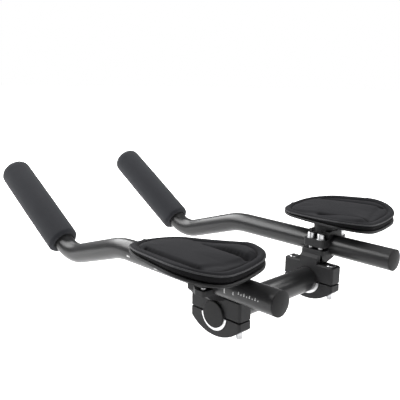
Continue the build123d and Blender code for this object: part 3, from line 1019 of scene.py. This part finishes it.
def front_tack(ring, rest, pads, cover_height):
    """Dense bar tack across the border at the pad's front, where the piping's ends meet."""
    lean, threads = 0.25, 9
    rim_gap, seam_gap = 1.6 * MM, 0.6 * MM
    unit = rest.from_frame(ring)
    start = int(np.argmax(unit[:, 1] + lean * unit[:, 0]))
    rim = inset_ring(ring, rim_gap)[start]
    seam = inset_ring(ring, pads.seam_inset - seam_gap)[start]
    inward = (seam - rim) / np.linalg.norm(seam - rim)
    along = np.array([-inward[1], inward[0]])
    parts = []
    for share in np.linspace(0.0, 1.0, threads):
        middle = rim + (seam - rim) * share
        plan = np.array([middle + along * reach * MM for reach in TACK_REACH])
        parts.append(laid_thread(plan, TACK_ARCH, pads, cover_height))
    return parts


# Printed scale and threads

PRINT_LIFT, PRINT_DEPTH = 0.02 * MM, 0.12 * MM
# reach marks: places in mm from the bar's rear end and angles, and half of one mark's length and arc
REACH_MARKS = ((185, -9), (144, -24), (111, -31))
MARK_HALF, MARK_ARC = 2.4, 4.5
# tail scale: places in mm from the bar's rear end and arcs
LONG_TICKS = ((53, -13, 10), (43, -7, 7))
FINE_TICKS = range(37, 15, -3)
FINE_LOW, FINE_TALL, FINE_SHORT = 3, 13, 6
FINE_SHARE = 0.8


def print_patch(side, sign, y0, y1, low, high):
    """Thin printed patch on a bar between two places along it and two angles round it."""
    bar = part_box(side + "_extension_bar")
    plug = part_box(side + "_bar_plug")
    radius = (bar[1].x - bar[0].x) / 2 + PRINT_LIFT
    centre_x = (bar[0].x + bar[1].x) / 2
    centre_z = (plug[0].z + plug[1].z) / 2
    cols = 7
    points = []
    for reach in (radius, radius - PRINT_DEPTH):
        for y in (y0, y1):
            for k in range(cols):
                turn = math.radians(low + (high - low) * k / (cols - 1))
                points.append(Vector((centre_x + sign * reach * math.cos(turn), y,
                                      centre_z + reach * math.sin(turn))))
    under = 2 * cols
    faces = []
    for k in range(cols - 1):
        face = (k, k + 1, cols + k + 1, cols + k)
        faces += [face, tuple(under + i for i in reversed(face))]
        faces.append((k + 1, k, under + k, under + k + 1))
        faces.append((cols + k, cols + k + 1, under + cols + k + 1, under + cols + k))
    last = cols - 1
    faces.append((0, cols, under + cols, under))
    faces.append((under + last, under + cols + last, cols + last, last))
    return points, faces


def bar_scale(side, sign, tubes, material):
    """Reach marks along the bar and a fine scale near its tail, counted from the bar's rear end."""
    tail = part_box(side + "_bar_plug")[0].y
    half = tubes.print_width / 2
    rows = [(y, MARK_HALF * MM, angle - MARK_ARC, angle + MARK_ARC) for y, angle in REACH_MARKS]
    rows += [(y, half, low, high) for y, low, high in LONG_TICKS]
    for i, y in enumerate(FINE_TICKS):
        rows.append((y, half * FINE_SHARE, FINE_LOW, FINE_LOW + (FINE_SHORT if i % 2 else FINE_TALL)))
    parts = [print_patch(side, sign, tail + y * MM - reach, tail + y * MM + reach, low, high)
             for y, reach, low, high in rows]
    return add_piece(side + "_bar_scale", *join_parts(parts), material, side + "_extension", "bar")


def screw_thread(centre, low, high, radius, pitch):
    """Helical ridge on a screw's free end."""
    ridge = 0.28 * pitch
    sides, turn_steps, least_steps = 6, 20, 8
    turns = (high - low) / pitch
    steps = max(least_steps, int(turns * turn_steps))
    path = []
    for i in range(steps + 1):
        turn = math.tau * turns * i / steps
        x = centre[0] + radius * math.cos(turn)
        y = centre[1] + radius * math.sin(turn)
        path.append(Vector((x, y, low + (high - low) * i / steps)))
    return tube_mesh(path, ridge, sides, False)


# Operators

FLOOR_REACH, FLOOR_SIDES = 9.0, 96
LIGHT_TARGET = (0.0, 0.08, 0.05)
# camera fitted to the photograph: its right, up and back axes and its place, as columns
CAMERA_PLACE = (
    (0.718561, 0.137373, -0.681762, -0.446163),
    (-0.695314, 0.162302, -0.700141, -0.356737),
    (0.014471, 0.977132, 0.212141, 0.216847),
    (0.0, 0.0, 0.0, 1.0),
)
SENSOR_WIDTH = 36.0


class AERO_OT_tubes(bpy.types.Operator):
    """Paint the bars and the crossbar and finish their plugs"""

    bl_idname = "aero.tubes"
    bl_label = "Paint tubes"

    def execute(self, context):
        tubes = context.scene.aero_tubes
        dress(["crossbar_tube"] + both("extension_bar"), satin_paint(tubes))
        dress(["crossbar_plugs"] + both("bar_plug"), moulded_plug(tubes))
        return {"FINISHED"}


class AERO_OT_scale(bpy.types.Operator):
    """Print the reach marks on both bars"""

    bl_idname = "aero.scale"
    bl_label = "Print scale"

    def execute(self, context):
        tubes = context.scene.aero_tubes
        material = white_print(tubes)
        for side, sign in SIDES:
            bar_scale(side, sign, tubes, material)
        return {"FINISHED"}


class AERO_OT_brackets(bpy.types.Operator):
    """Finish the clamps, straps, spacers and liners"""

    bl_idname = "aero.brackets"
    bl_label = "Finish brackets"

    def execute(self, context):
        bracket = context.scene.aero_bracket
        dress(both("clamp_body", "clamp_cap", "strap", "armrest_spacer"), blasted_metal(bracket))
        dress(both("cap_liner"), bare_liner(bracket))
        return {"FINISHED"}


class AERO_OT_screws(bpy.types.Operator):
    """Plate the screws and washers and cut the threads that show"""

    bl_idname = "aero.screws"
    bl_label = "Finish screws"

    def execute(self, context):
        bracket = context.scene.aero_bracket
        material = plated_screw(bracket)
        dress(both("clamp_bolts", "strap_bolts", "strap_washers", "armrest_bolt"), material)
        plain_end, free_end, core = 0.9 * MM, 3.9 * MM, 2.85 * MM
        for side, _ in SIDES:
            low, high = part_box(side + "_clamp_bolts")
            middle = (low.x + high.x) / 2
            reach = (high.y - low.y) / 2 - (high.x - low.x) / 2
            span = (low.z + plain_end, low.z + free_end)
            parts = [screw_thread((middle, y), *span, core, bracket.thread_pitch) for y in (-reach, reach)]
            add_piece(side + "_clamp_threads", *join_parts(parts), material, side + "_bracket", "bolts")
        return {"FINISHED"}


class AERO_OT_grips(bpy.types.Operator):
    """Make both foam grips"""

    bl_idname = "aero.grips"
    bl_label = "Make grips"

    def execute(self, context):
        grips = context.scene.aero_grips
        material = foam_skin(grips)
        for side, _ in SIDES:
            foam_grip(side, grips, material)
        return {"FINISHED"}


class AERO_OT_pads(bpy.types.Operator):
    """Mould both cups and sew both armrest pads"""

    bl_idname = "aero.pads"
    bl_label = "Make armrests"

    def execute(self, context):
        pads = context.scene.aero_pads
        dress(both("armrest_cup"), moulded_cup(pads))
        cover = knit_cover(pads)
        backing = pad_backing(pads)
        piping = piping_tape(pads)
        thread = sewing_thread(pads)
        for side, sign in SIDES:
            pad_cushion(side, sign, pads, cover, backing, piping, thread)
        return {"FINISHED"}


class AERO_OT_stage(bpy.types.Operator):
    """Set the floor, the light and the camera"""

    bl_idname = "aero.stage"
    bl_label = "Set stage"

    def execute(self, context):
        scene = context.scene
        stage = scene.aero_stage
        self.make_floor(scene, stage)
        self.make_world(scene)
        softboxes = (
            ("key_softbox", stage.key_power, (1.9, 0.65), (-0.36, 1.06, 0.84)),
            ("top_softbox", stage.fill_power, (0.9, 0.9), (0.1, 0.0, 1.3)),
            ("right_softbox", stage.right_power, (0.8, 0.8), (0.9, -0.3, 0.9)),
        )
        for name, power, size, spot in softboxes:
            self.make_light(scene, name, power, size, spot)
        self.make_camera(scene, stage)
        scene.view_settings.view_transform = "Standard"
        return {"FINISHED"}

    @staticmethod
    def make_floor(scene, stage):
        """Round floor under the part."""
        low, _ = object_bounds()
        turns = [math.tau * k / FLOOR_SIDES for k in range(FLOOR_SIDES)]
        level = low.z - stage.floor_drop
        ring = [(FLOOR_REACH * math.cos(t), FLOOR_REACH * math.sin(t), level) for t in turns]
        mesh = bpy.data.meshes.new("floor")
        mesh.from_pydata(ring, [], [tuple(range(FLOOR_SIDES))])
        mesh.materials.append(pale_floor(stage))
        floor = bpy.data.objects.new("floor", mesh)
        scene.collection.objects.link(floor)
        floor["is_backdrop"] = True

    @staticmethod
    def make_world(scene):
        """Soft studio glow, brighter overhead and white behind the part."""
        world = bpy.data.worlds.new("studio")
        world.use_nodes = True
        bench = Bench(world.node_tree)
        height = bench.part(bench.node("ShaderNodeTexCoord", out="Generated"), "Z")
        glow = bench.ramp(height, (0.0, 0.16), (0.35, 0.2), (0.75, 0.3), (1.0, 0.35))
        seen = bench.node("ShaderNodeLightPath", out="Is Camera Ray")
        shown = bench.mix(seen, glow, (1.0, 1.0, 1.0))
        sky = bench.node("ShaderNodeBackground", None, {"Color": shown, "Strength": 1.0})
        bench.node("ShaderNodeOutputWorld", None, {"Surface": sky})
        scene.world = world

    @staticmethod
    def make_light(scene, name, power, size, spot):
        """Rectangular softbox aimed at the part."""
        data = bpy.data.lights.new(name, "AREA")
        data.energy = power
        data.shape = "RECTANGLE"
        data.size, data.size_y = size
        light = bpy.data.objects.new(name, data)
        aim = Vector(LIGHT_TARGET) - Vector(spot)
        light.matrix_world = Matrix.Translation(spot) @ aim.to_track_quat("-Z", "Y").to_matrix().to_4x4()
        scene.collection.objects.link(light)

    @staticmethod
    def make_camera(scene, stage):
        """Camera at the photograph's angle."""
        data = bpy.data.cameras.new("camera")
        data.lens = stage.lens
        data.sensor_width = SENSOR_WIDTH
        camera = bpy.data.objects.new("camera", data)
        camera.matrix_world = Matrix(CAMERA_PLACE)
        scene.collection.objects.link(camera)
        scene.camera = camera


class AERO_PT_panel(bpy.types.Panel):
    """Sidebar panel that lists the pieces"""

    bl_idname = "AERO_PT_panel"
    bl_label = "Aero Bar"
    bl_space_type = "VIEW_3D"
    bl_region_type = "UI"
    bl_category = "Aero Bar"

    def draw(self, context):
        for operator in OPERATORS:
            self.layout.operator(operator.bl_idname)
        for name in SETTINGS:
            box = self.layout.box()
            group = getattr(context.scene, name)
            for key in group.__annotations__:
                box.prop(group, key)


OPERATORS = (AERO_OT_tubes, AERO_OT_scale, AERO_OT_brackets, AERO_OT_screws, AERO_OT_grips, AERO_OT_pads,
             AERO_OT_stage)
SETTINGS = {
    "aero_tubes": TubeSettings,
    "aero_bracket": BracketSettings,
    "aero_grips": GripSettings,
    "aero_pads": PadSettings,
    "aero_stage": StageSettings,
}


def register():
    """Registers the settings, the operators and the panel."""
    for group in SETTINGS.values():
        bpy.utils.register_class(group)
    for name, group in SETTINGS.items():
        setattr(bpy.types.Scene, name, PointerProperty(type=group))
    for operator in OPERATORS:
        bpy.utils.register_class(operator)
    bpy.utils.register_class(AERO_PT_panel)


def unregister():
    """Takes the panel, the operators and the settings out again."""
    bpy.utils.unregister_class(AERO_PT_panel)
    for operator in reversed(OPERATORS):
        bpy.utils.unregister_class(operator)
    for name, group in SETTINGS.items():
        delattr(bpy.types.Scene, name)
        bpy.utils.unregister_class(group)


def main():
    """Makes every piece in order."""
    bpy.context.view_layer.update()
    register()
    bpy.ops.aero.tubes()
    bpy.ops.aero.scale()
    bpy.ops.aero.brackets()
    bpy.ops.aero.screws()
    bpy.ops.aero.grips()
    bpy.ops.aero.pads()
    bpy.ops.aero.stage()


if __name__ == "__main__":
    main()
